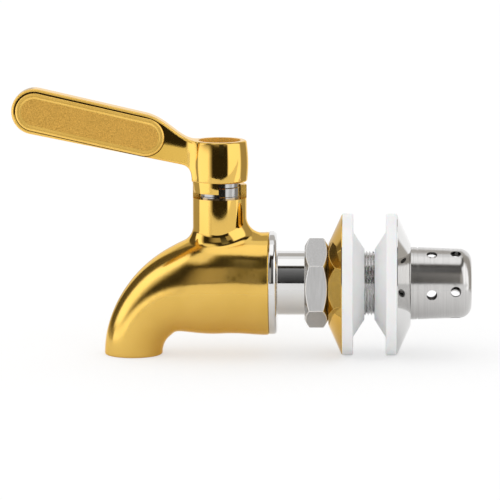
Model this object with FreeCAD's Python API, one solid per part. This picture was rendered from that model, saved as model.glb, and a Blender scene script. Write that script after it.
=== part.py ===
"""Quarter-turn spigot for a beverage dispenser: horn body, ball valve, lever and wall clamp.

All lengths are in millimetres and +Z is up. The tail runs along +X on the X axis, and the
origin is on its axis, in the plane where the outer seal meets the dispenser's wall.
"""
import FreeCAD
import Part
import math
import os
from FreeCAD import Vector

# Clearances
running = 0.05           # turning and sliding fits, radial and axial
assembly = 0.10          # pieces of one body that only drop into each other
stop_angle = 0.6         # free play at each end of the lever's travel, degrees
overshoot = 1.0          # how far a cutter reaches past the face it opens
same = 1e-3              # two lengths this close are the same

# Tail thread and pipe
thread_r = 8.0           # M16 thread, over its crests
shank_r = 7.9            # plain length between the flange and the thread
pipe_bore_r = 5.0
flange_t = 2.0
flange_step = 0.05       # how far the flange stands proud of the body
flange_round = 0.9
plain_length = 6.8       # flange to nut
pipe_end_gap = 0.6       # pipe end to the first ring of strainer holes
pipe_end_chamfer = 0.5

# Hexagon nut
nut_flats = 19.5
nut_t = 5.85
nut_face_r = 9.2
nut_chamfer_angle = 30.0

# Dished washers and silicone seals
loose_gap = 0.4          # radial room of the loose rings on the thread
washer_rim_r = 17.3
washer_land_r = 10.2
washer_depth = 3.4
washer_sheet = 0.8
washer_rim_edge = 0.15   # thickness left at the rim
seal_overhang = 0.25     # how far a seal stands out past its washer's rim
seal_disc_t = 2.7
seal_cone_root_r = 13.05
seal_lip_t = 0.3
seal_cone_length = 2.8
seal_tip_gap = 2.5       # between the two cone tips with no wall between them
seal_round = 0.35

# Strainer cap
strainer_length = 15.0
strainer_mouth_r = 9.0
strainer_end_r = 8.45
strainer_wall = 0.9
strainer_end_wall = 1.1
strainer_end_round = 3.1
strainer_thread_length = 3.9
strainer_groove_at = 1.5
strainer_groove_w = 0.3
strainer_groove_depth = 0.25
strainer_hole_r = 1.3
strainer_holes = 5
first_ring_at = 5.15
second_ring_at = 11.05
first_ring_angle = -11.0
second_ring_angle = -5.6

# Horn body
body_r = 12.65
hub_from_end = 12.2      # lever axis to the body's end face
bend_from_hub = 10.65    # lever axis to the bend's centre
bend_above_outlet = 0.6
throat_r = 10.95
throat_drop = 1.2        # how far the bore's line has sunk where the bend begins
outlet_r = 7.19
outlet_bend_r = 10.84
taper_power = 2.3
bend_step = 15           # degrees between the bend's sections
throat_lean = 4.0        # lean of the passage halfway to the bend, degrees
outlet_bore_r = 5.5
outlet_bore_length = 3.0
outlet_round = 0.5
body_end_round = 0.3
neck_r = 6.65
neck_top = 21.4
neck_blend = 4.0
stop_wall_t = 1.5
stop_wall_top = 24.55

# Ball valve
ball_r = 6.5
ball_bore_r = 3.75
seat_near = 3.3          # seat faces, measured from the ball's centre
seat_far = 6.8
cavity_r = 9.0
slot_w = 3.1
slot_floor = 4.6
tail_ring_w = 1.8
tail_ring_depth = 1.3
ring_corner_share = 0.75  # rounding of a pressed ring's corners, of half its section

# Stem and gland
stem_r = 3.0
stem_collar_r = 4.4
neck_bore_r = 4.5
neck_bore_floor = 11.4
thrust_washer_t = 0.6
stem_collar_t = 1.5
packing_t = 1.9
gland_head_r = 5.08
gland_head_h = 2.8
gland_lip_h = 0.45
gland_lip_step = 0.12    # how far the lip stands out, and its chamfer
gland_top_chamfer = 0.2
spacer_r = 4.85
tongue_half_length = 2.8
stem_ring_w = 1.0
stem_ring_depth = 0.75
stem_ring_pitch = 2.4
drive_square = 4.2
drive_short = 0.4        # the square stops this far below the hub's floor
screw_r = 1.5
screw_engaged = 5.0

# Lever handle
hub_bottom = 25.4
hub_top = 35.6
hub_top_r = 6.62
hub_mid_r = 7.07
hub_bottom_r = 6.8
hub_round = 0.5
hub_well_r = 5.2
hub_well_depth = 5.0
lug_r = 6.75
lug_bottom = 22.8
blade_t = 5.0
blade_edge_round = 0.6
blade_root_fillet = 4.4
blade_end_r = 5.63
blade_end_out = 45.67    # end circle's centre, out from the lever axis and above the tail axis
blade_end_z = 42.8
crest_out = 18.3         # where the straight upper edge begins to fall to the hub
crest_z = 42.3
root_out = 9.6           # where the lower edge begins to fall to the hub
root_z = 29.8
root_drop = 4.2
crest_pull = 0.45        # pull of the curved edges' ends, as shares of their reach
rim_pull = 0.36
root_pull = 0.55
heel_pull = 0.6
grip_tilt = 12.9
grip_length = 28.2
grip_r = 4.39
grip_pocket_depth = 0.5
grip_proud = 0.6
grip_bevel_w = 0.95
grip_bevel_h = 0.4

# Handle screw and lock washer
lock_washer_r = 3.2
lock_washer_t = 0.7
screw_head_r = 2.75
screw_head_h = 2.0
screw_head_round = 0.3
socket_flats = 2.5
socket_depth = 1.3

# Places that follow from the sizes above
hang = loose_gap - running
seal_r = washer_rim_r + seal_overhang
flange_r = body_r + flange_step
wall_near = 0.0
wall_far = 2 * seal_cone_length + seal_tip_gap
loose_bore_r = thread_r + loose_gap
outer_land_x = wall_near - seal_disc_t - washer_depth
nut_right_x = outer_land_x - running
nut_left_x = nut_right_x - nut_t
flange_right_x = nut_left_x - plain_length
body_end_x = flange_right_x - flange_t
hub_x = body_end_x - hub_from_end
inner_land_x = wall_far + seal_disc_t + washer_depth
strainer_x = inner_land_x + running
pipe_end_x = strainer_x + first_ring_at - strainer_hole_r - pipe_end_gap
outlet_z = -(seal_r + hang)
bend_x = hub_x - bend_from_hub
bend_z = outlet_z + bend_above_outlet
throat_bend_r = -throat_drop - bend_z
collar_bottom = neck_bore_floor + thrust_washer_t + running
packing_bottom = collar_bottom + stem_collar_t + running
gland_bottom = packing_bottom + packing_t
gland_top = neck_top + gland_head_h
hub_floor = hub_top - hub_well_depth
stop_inner_r = neck_r - stop_wall_t

X_AXIS = Vector(1, 0, 0)
Y_AXIS = Vector(0, 1, 0)
Z_AXIS = Vector(0, 0, 1)
TAIL = Vector(0, 0, 0)
HUNG = Vector(0, 0, -hang)
HUB = Vector(hub_x, 0, 0)


def face_of(points):
    """Planar face inside the closed polygon through these points."""
    return Part.Face(Part.makePolygon(points + [points[0]]))


def turned_x(outline, centre=TAIL):
    """Solid turned about the line along X through centre, from (x, radius) points."""
    points = [centre + Vector(x, 0, r) for x, r in outline]
    return face_of(points).revolve(centre, X_AXIS, 360)


def turned_z(outline, centre=HUB):
    """Solid turned about the line along Z through centre, from (radius, z) points."""
    points = [centre + Vector(r, 0, z) for r, z in outline]
    return face_of(points).revolve(centre, Z_AXIS, 360)


def tube_x(x0, x1, inner_r, outer_r, centre=TAIL):
    """Plain ring along X."""
    return turned_x([(x0, inner_r), (x1, inner_r), (x1, outer_r), (x0, outer_r)], centre)


def tube_z(z0, z1, inner_r, outer_r):
    """Plain ring along Z on the lever axis."""
    return turned_z([(inner_r, z0), (outer_r, z0), (outer_r, z1), (inner_r, z1)])


def rod_x(x0, x1, r):
    """Round bar along X on the tail axis."""
    return Part.makeCylinder(r, x1 - x0, Vector(x0, 0, 0), X_AXIS)


def rod_z(z0, z1, r):
    """Round bar along Z on the lever axis."""
    return Part.makeCylinder(r, z1 - z0, HUB + Vector(0, 0, z0), Z_AXIS)


def centred_box(width_x, width_y, z0, z1):
    """Box about the lever axis."""
    corner = HUB + Vector(-width_x / 2, -width_y / 2, z0)
    return Part.makeBox(width_x, width_y, z1 - z0, corner)


def sector(z0, z1, inner_r, outer_r, start, sweep):
    """Part of a ring about the lever axis, from a start angle on through a sweep, in degrees."""
    outline = [(inner_r, z0), (outer_r, z0), (outer_r, z1), (inner_r, z1)]
    piece = face_of([HUB + Vector(r, 0, z) for r, z in outline]).revolve(HUB, Z_AXIS, sweep)
    piece.rotate(HUB, Z_AXIS, start)
    return piece


def hexagon_x(flats, x0, x1):
    """Hexagonal bar along X with corners at top and bottom."""
    corner_r = flats / math.sqrt(3)
    corners = []
    for k in range(6):
        turn = math.radians(60 * k + 90)
        corners.append(Vector(x0, corner_r * math.cos(turn), corner_r * math.sin(turn)))
    return face_of(corners).extrude(Vector(x1 - x0, 0, 0))


def rounded(shape, radius, wanted):
    """Shape with the edges that pass the test rounded off."""
    edges = [edge for edge in shape.Edges if wanted(edge)]
    return shape.makeFillet(radius, edges)


def circle_at(x, r, centre=TAIL):
    """Test for a circular edge about the X direction with this place and radius."""
    def test(edge):
        curve = edge.Curve
        if not isinstance(curve, Part.Circle) or abs(curve.Radius - r) > same:
            return False
        return abs(curve.Center.x - x) < same and abs(curve.Center.z - centre.z) < same
    return test


def level_circle(z, r):
    """Test for a level circular edge with this height and radius."""
    def test(edge):
        curve = edge.Curve
        if not isinstance(curve, Part.Circle) or abs(curve.Radius - r) > same:
            return False
        return abs(curve.Center.z - z) < same and abs(abs(curve.Axis.z) - 1) < same
    return test


def edge_in_plane(axis, place):
    """Test for an edge that lies in the plane across this axis (0 is X, 2 is Z) at this place."""
    def test(edge):
        box = edge.BoundBox
        low = (box.XMin, box.YMin, box.ZMin)[axis]
        high = (box.XMax, box.YMax, box.ZMax)[axis]
        return abs(low - place) < same and abs(high - place) < same
    return test


def ring_section(x, z, r, turn=0.0):
    """Circle wire whose normal is +X, turned about Y, with its seam at the bottom."""
    wire = Part.Wire(Part.Circle(Vector(0, 0, 0), X_AXIS, r).toShape())
    wire.rotate(Vector(0, 0, 0), X_AXIS, 180)
    wire.rotate(Vector(0, 0, 0), Y_AXIS, turn)
    wire.translate(Vector(x, 0, z))
    return wire


def bend_share(angle):
    """How much of the throat's extra size is left at this angle of the bend."""
    return (1 - angle / 90.0) ** taper_power


def bend_section(angle, r):
    """Round section of the bend, 0 degrees at its throat and 90 at the outlet."""
    reach = outlet_bend_r + (throat_bend_r - outlet_bend_r) * bend_share(angle)
    turn = math.radians(angle)
    x = bend_x - reach * math.sin(turn)
    z = bend_z + reach * math.cos(turn)
    return ring_section(x, z, r, -angle)


def horn():
    """Outside of the body: a barrel that narrows through a quarter bend to the outlet."""
    sections = [ring_section(body_end_x, 0, body_r)]
    sections.append(ring_section((body_end_x + hub_x) / 2, 0, body_r))
    for share in (0.0, 0.5):
        x = hub_x - share * bend_from_hub
        r = body_r - (body_r - throat_r) * share ** 2
        sections.append(ring_section(x, -throat_drop * share ** 2, r))
    for angle in range(0, 91, bend_step):
        r = outlet_r + (throat_r - outlet_r) * bend_share(angle)
        sections.append(bend_section(angle, r))
    sections.append(ring_section(bend_x - outlet_bend_r, outlet_z, outlet_r, -90))
    return Part.makeLoft(sections, True)


def waterway():
    """Passage from the front seat round the bend to the outlet's plain bore."""
    start_x = hub_x - seat_far
    sections = [ring_section(start_x + assembly, 0, ball_bore_r)]
    sections.append(ring_section((start_x + bend_x) / 2, -throat_drop / 2, ball_bore_r, -throat_lean))
    for angle in range(bend_step, 91, bend_step):
        r = ball_bore_r + (outlet_bore_r - ball_bore_r) * angle / 90.0
        sections.append(bend_section(angle, r))
    passage = Part.makeLoft(sections, True)
    mouth_x = bend_x - outlet_bend_r
    mouth_z = outlet_z - overshoot
    top_z = outlet_z + outlet_bore_length
    mouth = Part.makeCylinder(outlet_bore_r, top_z - mouth_z, Vector(mouth_x, 0, mouth_z), Z_AXIS)
    return passage, mouth


def spout_body():
    """Horn body with its neck, stop wall, ball chamber, stem bore and water passage."""
    outside = horn().fuse(rod_z(0, neck_top, neck_r))
    outside = outside.removeSplitter()

    def neck_root(edge):
        box = edge.BoundBox
        return 0 < box.ZMin and box.ZMax < neck_top - same and box.XLength > 2 * neck_r - same
    outside = rounded(outside, neck_blend, neck_root)
    outside = rounded(outside, body_end_round, edge_in_plane(0, body_end_x))
    outside = rounded(outside, outlet_round, edge_in_plane(2, outlet_z))
    wall = sector(neck_top - overshoot, stop_wall_top, stop_inner_r, neck_r, 0, 180)
    body = outside.fuse(wall)
    body = body.cut(rod_x(hub_x - seat_far, body_end_x + overshoot, cavity_r))
    passage, mouth = waterway()
    body = body.cut(passage).cut(mouth)
    body = body.cut(rod_z(0, neck_bore_floor + overshoot, stem_r + running))
    body = body.cut(rod_z(neck_bore_floor, neck_top + overshoot, neck_bore_r))
    return body


def seat(side):
    """Seat ring beside the ball: side -1 is towards the outlet, +1 towards the tail."""
    near = hub_x + side * seat_near
    far = hub_x + side * seat_far
    ring = tube_x(min(near, far), max(near, far), ball_bore_r, cavity_r)
    return ring.cut(Part.makeSphere(ball_r + running, HUB))


def valve_ball():
    """Ball with its bore across the flow and the stem's slot along it, as when closed."""
    ball = Part.makeSphere(ball_r, HUB)
    reach = ball_r + overshoot
    bore = Part.makeCylinder(ball_bore_r, 2 * reach, HUB - Y_AXIS * reach, Y_AXIS)
    slot = centred_box(2 * ball_r, slot_w, slot_floor, reach)
    return ball.cut(bore).cut(slot)


def tail_pipe():
    """Flange, plain shank and threaded pipe in one, with the spigot that screws into the body."""
    spigot_x = hub_x + seat_far
    groove_x = body_end_x - tail_ring_w
    outline = [
        (spigot_x, pipe_bore_r),
        (spigot_x, cavity_r),
        (groove_x, cavity_r),
        (groove_x, cavity_r - tail_ring_depth),
        (body_end_x, cavity_r - tail_ring_depth),
        (body_end_x, flange_r),
        (flange_right_x, flange_r),
        (flange_right_x, shank_r),
        (nut_left_x, shank_r),
        (nut_left_x, thread_r),
        (pipe_end_x - pipe_end_chamfer, thread_r),
        (pipe_end_x, thread_r - pipe_end_chamfer),
        (pipe_end_x, pipe_bore_r),
    ]
    pipe = turned_x(outline)
    pipe = rounded(pipe, flange_round, circle_at(flange_right_x, flange_r))
    return rounded(pipe, body_end_round, circle_at(body_end_x, flange_r))


def tail_o_ring():
    """Ring pressed into the groove behind the flange."""
    section_r = tail_ring_depth / 2
    x = body_end_x - tail_ring_w / 2
    floor_r = cavity_r - tail_ring_depth
    return pressed_ring(tube_x(x - section_r, x + section_r, floor_r, cavity_r), section_r)


def pressed_ring(ring, section_r):
    """Square ring with its corners rounded as far as a pressed cord's are."""
    corners = [edge for edge in ring.Edges if isinstance(edge.Curve, Part.Circle)]
    return ring.makeFillet(section_r * ring_corner_share, corners)


def hex_nut():
    """Hexagon nut, chamfered on both faces, with a flat towards each side."""
    blank_r = nut_flats / math.sqrt(3) + overshoot
    fall = (blank_r - nut_face_r) * math.tan(math.radians(nut_chamfer_angle))
    blank = turned_x([
        (nut_left_x, 0),
        (nut_left_x, nut_face_r),
        (nut_left_x + fall, blank_r),
        (nut_right_x - fall, blank_r),
        (nut_right_x, nut_face_r),
        (nut_right_x, 0),
    ])
    nut = hexagon_x(nut_flats, nut_left_x, nut_right_x).common(blank)
    return nut.cut(rod_x(nut_left_x - overshoot, nut_right_x + overshoot, thread_r + running))


def dished_washer(rim_x, land_x):
    """Pressed washer: a flat land on the nut's side and a cone out to a thin rim on the seal."""
    side = math.copysign(1, land_x - rim_x)
    slope = (washer_depth - washer_rim_edge) / (washer_rim_r - washer_land_r)
    through = washer_sheet * math.hypot(1, slope)
    lip = (through - washer_rim_edge) / slope
    inner_land_r = washer_rim_r - lip - (washer_depth - washer_sheet) / slope
    outline = [
        (land_x, loose_bore_r),
        (land_x, washer_land_r),
        (rim_x + side * washer_rim_edge, washer_rim_r),
        (rim_x, washer_rim_r),
        (rim_x, washer_rim_r - lip),
        (land_x - side * washer_sheet, inner_land_r),
        (land_x - side * washer_sheet, loose_bore_r),
    ]
    return turned_x(outline, HUNG)


def silicone_seal(wall_x, side):
    """Seal disc whose cone reaches from the wall's face into its hole: side is the cone's way."""
    back_x = wall_x - side * seal_disc_t
    tip_x = wall_x + side * seal_cone_length
    outline = [
        (back_x, loose_bore_r),
        (back_x, seal_r),
        (wall_x, seal_r),
        (wall_x, seal_cone_root_r),
        (tip_x, loose_bore_r + seal_lip_t),
        (tip_x, loose_bore_r),
    ]
    seal = turned_x(outline, HUNG)
    seal = rounded(seal, seal_round, circle_at(back_x, seal_r, HUNG))
    return rounded(seal, seal_round, circle_at(wall_x, seal_r, HUNG))


def strainer_cap():
    """Perforated cap that screws on the pipe's end and clamps the inner washer and seal."""
    end_x = strainer_x + strainer_length
    inner_end_x = end_x - strainer_end_wall
    thread_end_x = strainer_x + strainer_thread_length
    shell = turned_x([
        (strainer_x, 0),
        (strainer_x, strainer_mouth_r),
        (end_x, strainer_end_r),
        (end_x, 0),
    ])
    shell = rounded(shell, strainer_end_round, circle_at(end_x, strainer_end_r))
    hollow = turned_x([
        (thread_end_x, 0),
        (thread_end_x, strainer_mouth_r - strainer_wall),
        (inner_end_x, strainer_end_r - strainer_wall),
        (inner_end_x, 0),
    ])
    inner_round = strainer_end_round - strainer_wall
    hollow = rounded(hollow, inner_round, circle_at(inner_end_x, strainer_end_r - strainer_wall))
    cap = shell.cut(hollow)
    cap = cap.cut(rod_x(strainer_x - overshoot, thread_end_x + assembly, thread_r + running))
    groove_x = strainer_x + strainer_groove_at
    groove_floor_r = strainer_mouth_r - strainer_groove_depth
    groove = tube_x(groove_x, groove_x + strainer_groove_w, groove_floor_r, strainer_mouth_r + overshoot)
    cap = cap.cut(groove)
    rings = ((first_ring_at, first_ring_angle), (second_ring_at, second_ring_angle))
    for along, start in rings:
        for k in range(strainer_holes):
            turn = math.radians(start + 360.0 / strainer_holes * k)
            way = Vector(0, -math.cos(turn), math.sin(turn))
            centre = Vector(strainer_x + along, 0, 0)
            drill = Part.makeCylinder(strainer_hole_r, strainer_mouth_r + overshoot, centre, way)
            cap = cap.cut(drill)
    return cap


def stem_ring_heights():
    """Middle heights of the two ring grooves in the stem, inside the gland nut."""
    middle = (gland_bottom + neck_top) / 2
    return middle - stem_ring_pitch / 2, middle + stem_ring_pitch / 2


def valve_stem():
    """Stem: tongue in the ball, collar under the packing, ring grooves and the lever's square."""
    stem = centred_box(2 * tongue_half_length, slot_w - assembly, slot_floor + assembly, ball_r + overshoot)
    stem = stem.fuse(rod_z(ball_r + 2 * assembly, hub_bottom, stem_r))
    stem = stem.fuse(rod_z(collar_bottom, collar_bottom + stem_collar_t, stem_collar_r))
    square_top = hub_floor - drive_short
    stem = stem.fuse(centred_box(drive_square, drive_square, hub_bottom, square_top))
    for height in stem_ring_heights():
        low = height - stem_ring_w / 2
        high = height + stem_ring_w / 2
        stem = stem.cut(tube_z(low, high, stem_r - stem_ring_depth, stem_r + overshoot))
    tapped_to = hub_floor + lock_washer_t - screw_length() - overshoot
    stem = stem.cut(rod_z(tapped_to, square_top + overshoot, screw_r))
    return stem.removeSplitter()


def stem_o_ring(height):
    """Ring in one of the stem's grooves."""
    floor_r = stem_r - stem_ring_depth
    outer_r = stem_r + running / 2
    half = (outer_r - floor_r) / 2
    return pressed_ring(tube_z(height - half, height + half, floor_r, outer_r), half)


def gland_nut():
    """Round gland nut: its shank screws into the neck and its head shows under the lever."""
    waist_r = gland_head_r - gland_lip_step
    outline = [
        (stem_r + running, gland_bottom),
        (neck_bore_r, gland_bottom),
        (neck_bore_r, neck_top),
        (gland_head_r, neck_top),
        (gland_head_r, neck_top + gland_lip_h),
        (waist_r, neck_top + gland_lip_h + gland_lip_step),
        (waist_r, gland_top - gland_top_chamfer),
        (waist_r - gland_top_chamfer, gland_top),
        (stem_r + running, gland_top),
    ]
    return turned_z(outline)


def hub_barrel():
    """Slightly bellied hub, rounded at its top and bottom edges."""
    middle_z = (hub_bottom + hub_top) / 2
    low = HUB + Vector(hub_bottom_r, 0, hub_bottom)
    middle = HUB + Vector(hub_mid_r, 0, middle_z)
    high = HUB + Vector(hub_top_r, 0, hub_top)
    floor = HUB + Vector(0, 0, hub_bottom)
    roof = HUB + Vector(0, 0, hub_top)
    edges = [
        Part.makeLine(floor, low),
        Part.Arc(low, middle, high).toShape(),
        Part.makeLine(high, roof),
        Part.makeLine(roof, floor),
    ]
    barrel = Part.Face(Part.Wire(edges)).revolve(HUB, Z_AXIS, 360)
    barrel = rounded(barrel, hub_round, level_circle(hub_top, hub_top_r))
    return rounded(barrel, hub_round, level_circle(hub_bottom, hub_bottom_r))


def side_point(out, z):
    """Point in the handle's middle plane, out from the lever axis over the spout."""
    return Vector(hub_x - out, 0, z)


def tangent_angle(out, z, above):
    """Angle round the end circle where the straight edge from this point touches it."""
    run = blade_end_out - out
    rise = blade_end_z - z
    toward = math.atan2(-rise, -run)
    spread = math.acos(blade_end_r / math.hypot(run, rise))
    return toward - spread if above else toward + spread


def end_circle_point(angle):
    """Point on the handle's end circle."""
    out = blade_end_out + blade_end_r * math.cos(angle)
    return side_point(out, blade_end_z + blade_end_r * math.sin(angle))


def curve_between(start, start_way, end, end_way):
    """Smooth edge from start to end that leaves and arrives along the given vectors."""
    curve = Part.BezierCurve()
    curve.setPoles([start, start + start_way, end - end_way, end])
    return curve.toShape()


def blade_side():
    """Side outline of the lever blade, from its round end to inside the hub."""
    upper = tangent_angle(crest_out, crest_z, True)
    lower = tangent_angle(root_out, root_z, False)
    upper_touch = end_circle_point(upper)
    lower_touch = end_circle_point(lower)
    crest = side_point(crest_out, crest_z)
    root = side_point(root_out, root_z)
    fall = crest_out - hub_well_r
    upper_way = (crest - upper_touch).normalize() * fall * crest_pull
    lower_way = (root - lower_touch).normalize() * root_drop * root_pull
    rim = side_point(hub_well_r, hub_top)
    heel = side_point(hub_bottom_r, root_z - root_drop)
    centre_high = side_point(0, hub_top)
    centre_low = side_point(0, root_z - root_drop)
    edges = [
        Part.makeLine(upper_touch, crest),
        curve_between(crest, upper_way, rim, X_AXIS * fall * rim_pull),
        Part.makeLine(rim, centre_high),
        Part.makeLine(centre_high, centre_low),
        Part.makeLine(centre_low, heel),
        curve_between(heel, Z_AXIS * root_drop * heel_pull, root, lower_way * -1),
        Part.makeLine(root, lower_touch),
        Part.Arc(lower_touch, end_circle_point(0.0), upper_touch).toShape(),
    ]
    return Part.Face(Part.Wire(edges))


def blade_plan():
    """Plan outline of the blade: a straight strip that flares into the hub with two fillets."""
    half = blade_t / 2
    far = blade_end_out + blade_end_r + overshoot
    centre_y = half + blade_root_fillet
    reach = hub_mid_r + blade_root_fillet
    start_out = math.sqrt(reach ** 2 - centre_y ** 2)
    touch_out = start_out * hub_mid_r / reach
    touch_y = centre_y * hub_mid_r / reach
    lean = math.atan2(start_out, centre_y) / 2
    middle_out = start_out - blade_root_fillet * math.sin(lean)
    middle_y = centre_y - blade_root_fillet * math.cos(lean)

    def at(out, y):
        return Vector(hub_x - out, y, 0)
    edges = [Part.makeLine(at(far, half), at(start_out, half))]
    edges.append(Part.Arc(at(start_out, half), at(middle_out, middle_y), at(touch_out, touch_y)).toShape())
    edges.append(Part.makeLine(at(touch_out, touch_y), at(0, touch_y)))
    edges.append(Part.makeLine(at(0, touch_y), at(0, -touch_y)))
    edges.append(Part.makeLine(at(0, -touch_y), at(touch_out, -touch_y)))
    arc = Part.Arc(at(touch_out, -touch_y), at(middle_out, -middle_y), at(start_out, -half))
    edges.append(arc.toShape())
    edges.append(Part.makeLine(at(start_out, -half), at(far, -half)))
    edges.append(Part.makeLine(at(far, -half), at(far, half)))
    return Part.Face(Part.Wire(edges))


def blade():
    """Lever blade with its flared root and rounded edges."""
    height = blade_end_z + blade_end_r + overshoot
    reach_y = hub_mid_r + overshoot
    plan = blade_plan().extrude(Z_AXIS * height)
    side = blade_side()
    side.translate(Y_AXIS * -reach_y)
    side = side.extrude(Y_AXIS * 2 * reach_y)
    piece = plan.common(side).Solids[0]

    def outline_edge(edge):
        box = edge.BoundBox
        off_axis = box.XMax < hub_x - hub_bottom_r / 2
        on_face = min(abs(box.YMin), abs(box.YMax)) > blade_t / 2 - same
        along = max(box.XLength, box.ZLength) > same and box.YLength < blade_t / 2
        return off_axis and on_face and along
    return rounded(piece, blade_edge_round, outline_edge)


def stadium(r, y):
    """Long rounded outline of a grip plate, in the plane at this Y."""
    start = side_point(blade_end_out, blade_end_z) + Y_AXIS * y
    tilt = math.radians(grip_tilt)
    along = Vector(math.cos(tilt), 0, -math.sin(tilt))
    across = Vector(math.sin(tilt), 0, math.cos(tilt))
    end = start + along * grip_length
    edges = [
        Part.makeLine(start + across * r, end + across * r),
        Part.Arc(end + across * r, end + along * r, end - across * r).toShape(),
        Part.makeLine(end - across * r, start - across * r),
        Part.Arc(start - across * r, start - along * r, start + across * r).toShape(),
    ]
    return Part.Wire(edges)


def grip_plate(side):
    """Grip plate in the blade's pocket, bevelled round its raised face: side is -1 or +1 in Y."""
    floor_y = side * (blade_t / 2 - grip_pocket_depth)
    shoulder_y = side * (blade_t / 2 + grip_proud - grip_bevel_h)
    top_y = side * (blade_t / 2 + grip_proud)
    outer = grip_r - assembly
    base = Part.Face(stadium(outer, floor_y)).extrude(Y_AXIS * (shoulder_y - floor_y))
    bevel = Part.makeLoft([stadium(outer, shoulder_y), stadium(outer - grip_bevel_w, top_y)], True, True)
    return base.fuse(bevel).removeSplitter()


def grip_pocket(side):
    """Cutter for the pocket under a grip plate."""
    floor_y = side * (blade_t / 2 - grip_pocket_depth)
    return Part.Face(stadium(grip_r, floor_y)).extrude(Y_AXIS * side * (grip_pocket_depth + overshoot))


def handle():
    """Lever: hub with a well on top, a lug below that meets the stop wall, and the blade."""
    lever = hub_barrel().fuse(blade())
    lug_sweep = 90 - 2 * stop_angle
    lug_top = hub_bottom + overshoot
    lug = sector(lug_bottom, lug_top, stop_inner_r + assembly, lug_r, 180 + stop_angle, lug_sweep)
    lever = lever.fuse(lug)
    well = rod_z(hub_floor, hub_top + hub_well_depth, hub_well_r)
    lever = lever.cut(well)
    square = centred_box(drive_square, drive_square, hub_bottom - overshoot, hub_floor + overshoot)
    lever = lever.cut(square)
    for side in (-1, 1):
        lever = lever.cut(grip_pocket(side))
    return lever


def screw_length():
    """Screw shank, from under its head to its end."""
    return lock_washer_t + drive_short + screw_engaged


def handle_screw():
    """Socket screw at the bottom of the hub's well."""
    under_head = hub_floor + lock_washer_t
    top = under_head + screw_head_h
    screw = rod_z(under_head, top, screw_head_r)
    screw = rounded(screw, screw_head_round, level_circle(top, screw_head_r))
    screw = screw.fuse(rod_z(under_head - screw_length(), under_head, screw_r))
    corner_r = socket_flats / math.sqrt(3)
    corners = []
    for k in range(6):
        turn = math.radians(60 * k)
        corners.append(HUB + Vector(corner_r * math.cos(turn), corner_r * math.sin(turn), top))
    return screw.cut(face_of(corners).extrude(Z_AXIS * -socket_depth))


def pieces():
    """Every piece of the spigot by its node name."""
    lower_height, upper_height = stem_ring_heights()
    neck_fit_r = neck_bore_r - running / 2
    collar_seat = neck_bore_floor + thrust_washer_t
    return {
        "spout_body": spout_body(),
        "front_seat": seat(-1),
        "rear_seat": seat(1),
        "valve_ball": valve_ball(),
        "valve_stem": valve_stem(),
        "stem_o_ring_lower": stem_o_ring(lower_height),
        "stem_o_ring_upper": stem_o_ring(upper_height),
        "thrust_washer": tube_z(neck_bore_floor, collar_seat, stem_r + running, neck_fit_r),
        "stem_packing": tube_z(packing_bottom, gland_bottom, stem_r + running, neck_fit_r),
        "gland_nut": gland_nut(),
        "spacer_ring": tube_z(gland_top + running, hub_bottom, stem_r, spacer_r),
        "handle": handle(),
        "front_grip_plate": grip_plate(-1),
        "rear_grip_plate": grip_plate(1),
        "lock_washer": tube_z(hub_floor, hub_floor + lock_washer_t, screw_r + assembly, lock_washer_r),
        "handle_screw": handle_screw(),
        "tail_pipe": tail_pipe(),
        "tail_o_ring": tail_o_ring(),
        "hex_nut": hex_nut(),
        "outer_washer": dished_washer(wall_near - seal_disc_t, outer_land_x),
        "outer_seal": silicone_seal(wall_near, 1),
        "inner_seal": silicone_seal(wall_far, -1),
        "inner_washer": dished_washer(wall_far + seal_disc_t, inner_land_x),
        "strainer_cap": strainer_cap(),
    }


os.makedirs("parts", exist_ok=True)
for name, shape in pieces().items():
    if len(shape.Solids) == 1:
        shape = shape.Solids[0]
    box = shape.BoundBox
    print(name, shape.isValid(), len(shape.Solids), round(shape.Volume, 1), len(shape.Faces), box)
    shape.exportStep("parts/" + name + ".step")
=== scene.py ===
"""Visual model of a gold quarter-turn spigot for a drink dispenser.

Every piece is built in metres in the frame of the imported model: the tail runs along +X on
the X axis, the lever turns about +Z, and the viewer of the photograph stands towards -Y.
"""

import logging
import math
from dataclasses import dataclass
from enum import Enum

import bmesh
import bpy
from mathutils import Matrix, Vector


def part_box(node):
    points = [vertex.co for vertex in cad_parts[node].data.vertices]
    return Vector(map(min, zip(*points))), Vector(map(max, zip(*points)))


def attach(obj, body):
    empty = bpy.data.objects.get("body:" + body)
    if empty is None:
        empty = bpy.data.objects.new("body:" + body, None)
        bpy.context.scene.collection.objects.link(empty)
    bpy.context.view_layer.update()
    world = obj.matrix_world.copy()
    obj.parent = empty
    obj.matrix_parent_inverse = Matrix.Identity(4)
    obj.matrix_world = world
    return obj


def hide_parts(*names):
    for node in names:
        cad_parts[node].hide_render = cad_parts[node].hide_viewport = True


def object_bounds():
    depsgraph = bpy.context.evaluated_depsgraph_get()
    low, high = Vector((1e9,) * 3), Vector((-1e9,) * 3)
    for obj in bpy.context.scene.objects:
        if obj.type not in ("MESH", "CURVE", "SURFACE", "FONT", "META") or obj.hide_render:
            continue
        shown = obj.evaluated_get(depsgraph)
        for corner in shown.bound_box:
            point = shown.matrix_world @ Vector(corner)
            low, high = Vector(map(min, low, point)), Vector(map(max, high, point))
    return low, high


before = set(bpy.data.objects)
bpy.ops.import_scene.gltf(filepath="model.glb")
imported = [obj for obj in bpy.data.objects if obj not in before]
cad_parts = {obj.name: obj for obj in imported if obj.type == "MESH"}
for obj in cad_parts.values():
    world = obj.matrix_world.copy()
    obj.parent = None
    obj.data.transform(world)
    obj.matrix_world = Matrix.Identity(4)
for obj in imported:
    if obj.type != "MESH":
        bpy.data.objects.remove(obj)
CAD_LOW, CAD_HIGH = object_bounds()

log = logging.getLogger("spigot")
logging.basicConfig(level=logging.INFO, format="%(name)s: %(message)s")

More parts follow.
